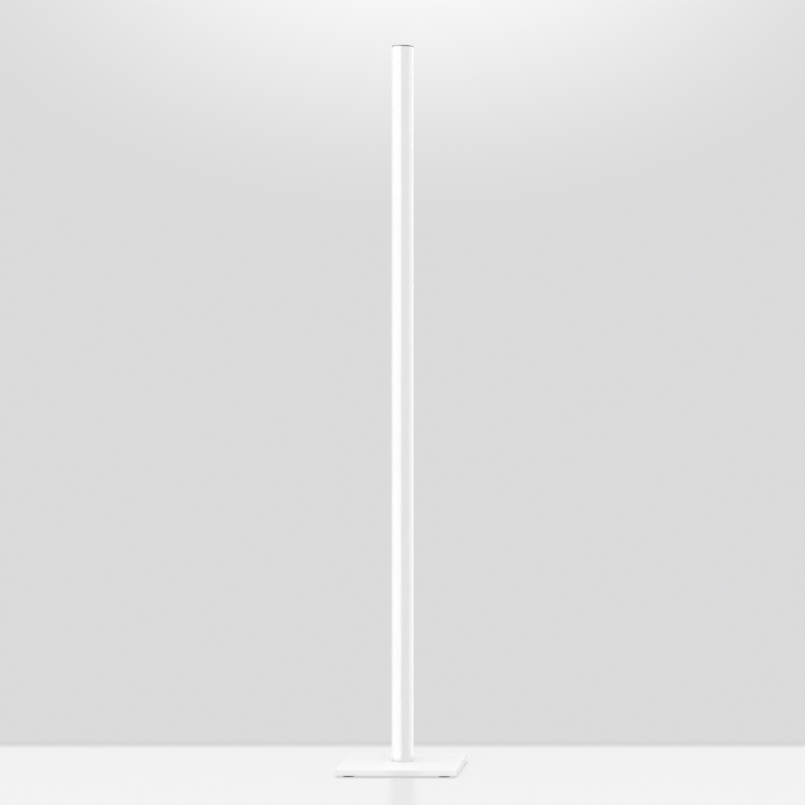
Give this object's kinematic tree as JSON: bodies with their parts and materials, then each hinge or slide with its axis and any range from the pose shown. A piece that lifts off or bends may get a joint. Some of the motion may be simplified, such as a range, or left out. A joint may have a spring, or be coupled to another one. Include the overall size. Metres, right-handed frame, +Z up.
{
  "type": "outdoor floor lamp",
  "caption": "Slim white floor lamp for outdoors: a round column on a square plate with rubber feet, lighting upwards through a sealed glass in its top ring.",
  "frame": {"origin": "on the floor under the column's axis, at the bottom of the feet", "axes": "+Z up along the column, -Y towards the front, +Y towards the push-button and the cable channel"},
  "size_m": [0.29, 0.29, 1.75],
  "materials": {
    "white_paint": "white powder coat",
    "white_column": "white powder coat on extruded aluminium",
    "dark_ring": "dark anodised",
    "black_rubber": "moulded",
    "clear_silicone": "moulded silicone",
    "steel": "stainless",
    "bare_aluminium": "mill finish",
    "black_nylon": "moulded",
    "grey_plastic": "moulded",
    "white_plastic": "moulded",
    "lead_jacket": "smooth jacket",
    "phosphor": "silicone over phosphor",
    "reflector_metal": "spun and polished",
    "glass": "clear toughened glass"
  },
  "bodies": {
    "lamp": {"base_plate": "white_paint", "base_cover": "white_paint", "column_tube": "white_column", "top_ring": "dark_ring", "foot_front_left": "black_rubber", "foot_front_right": "black_rubber", "foot_rear_left": "black_rubber", "foot_rear_right": "black_rubber", "column_gasket": "black_rubber", "gland_seal": "black_rubber", "head_o_ring": "black_rubber", "lead_grommet": "black_rubber", "button_seal": "black_rubber", "lens_gasket": "clear_silicone", "foot_screws": "steel", "base_cover_screws": "steel", "column_screws": "steel", "terminal_screws": "steel", "driver_screws": "steel", "head_screws": "steel", "holder_screws": "steel", "button_body": "steel", "button_nut": "steel", "gear_tray": "bare_aluminium", "head_housing": "bare_aluminium", "led_board": "bare_aluminium", "gland_body": "black_nylon", "gland_dome": "black_nylon", "gland_locknut": "black_nylon", "terminal_block": "grey_plastic", "driver_cap_lower": "black_nylon", "driver_cap_upper": "black_nylon", "driver_case": "white_plastic", "led_holder": "white_plastic", "supply_leads": "lead_jacket", "led_lead": "lead_jacket", "button_lead": "lead_jacket", "thermal_pad": "clear_silicone", "led_emitter": "phosphor", "reflector": "reflector_metal", "glass_lens": "glass"},
    "button": {"button_cap": "steel"}
  },
  "joints": [
    {"name": "button_press", "type": "slide", "parent": "lamp", "child": "button", "axis": [0, -1, 0], "range_m": [0, 0.0015], "stiffness_N_per_m": 800, "springref_m": -0.0015}
  ]
}
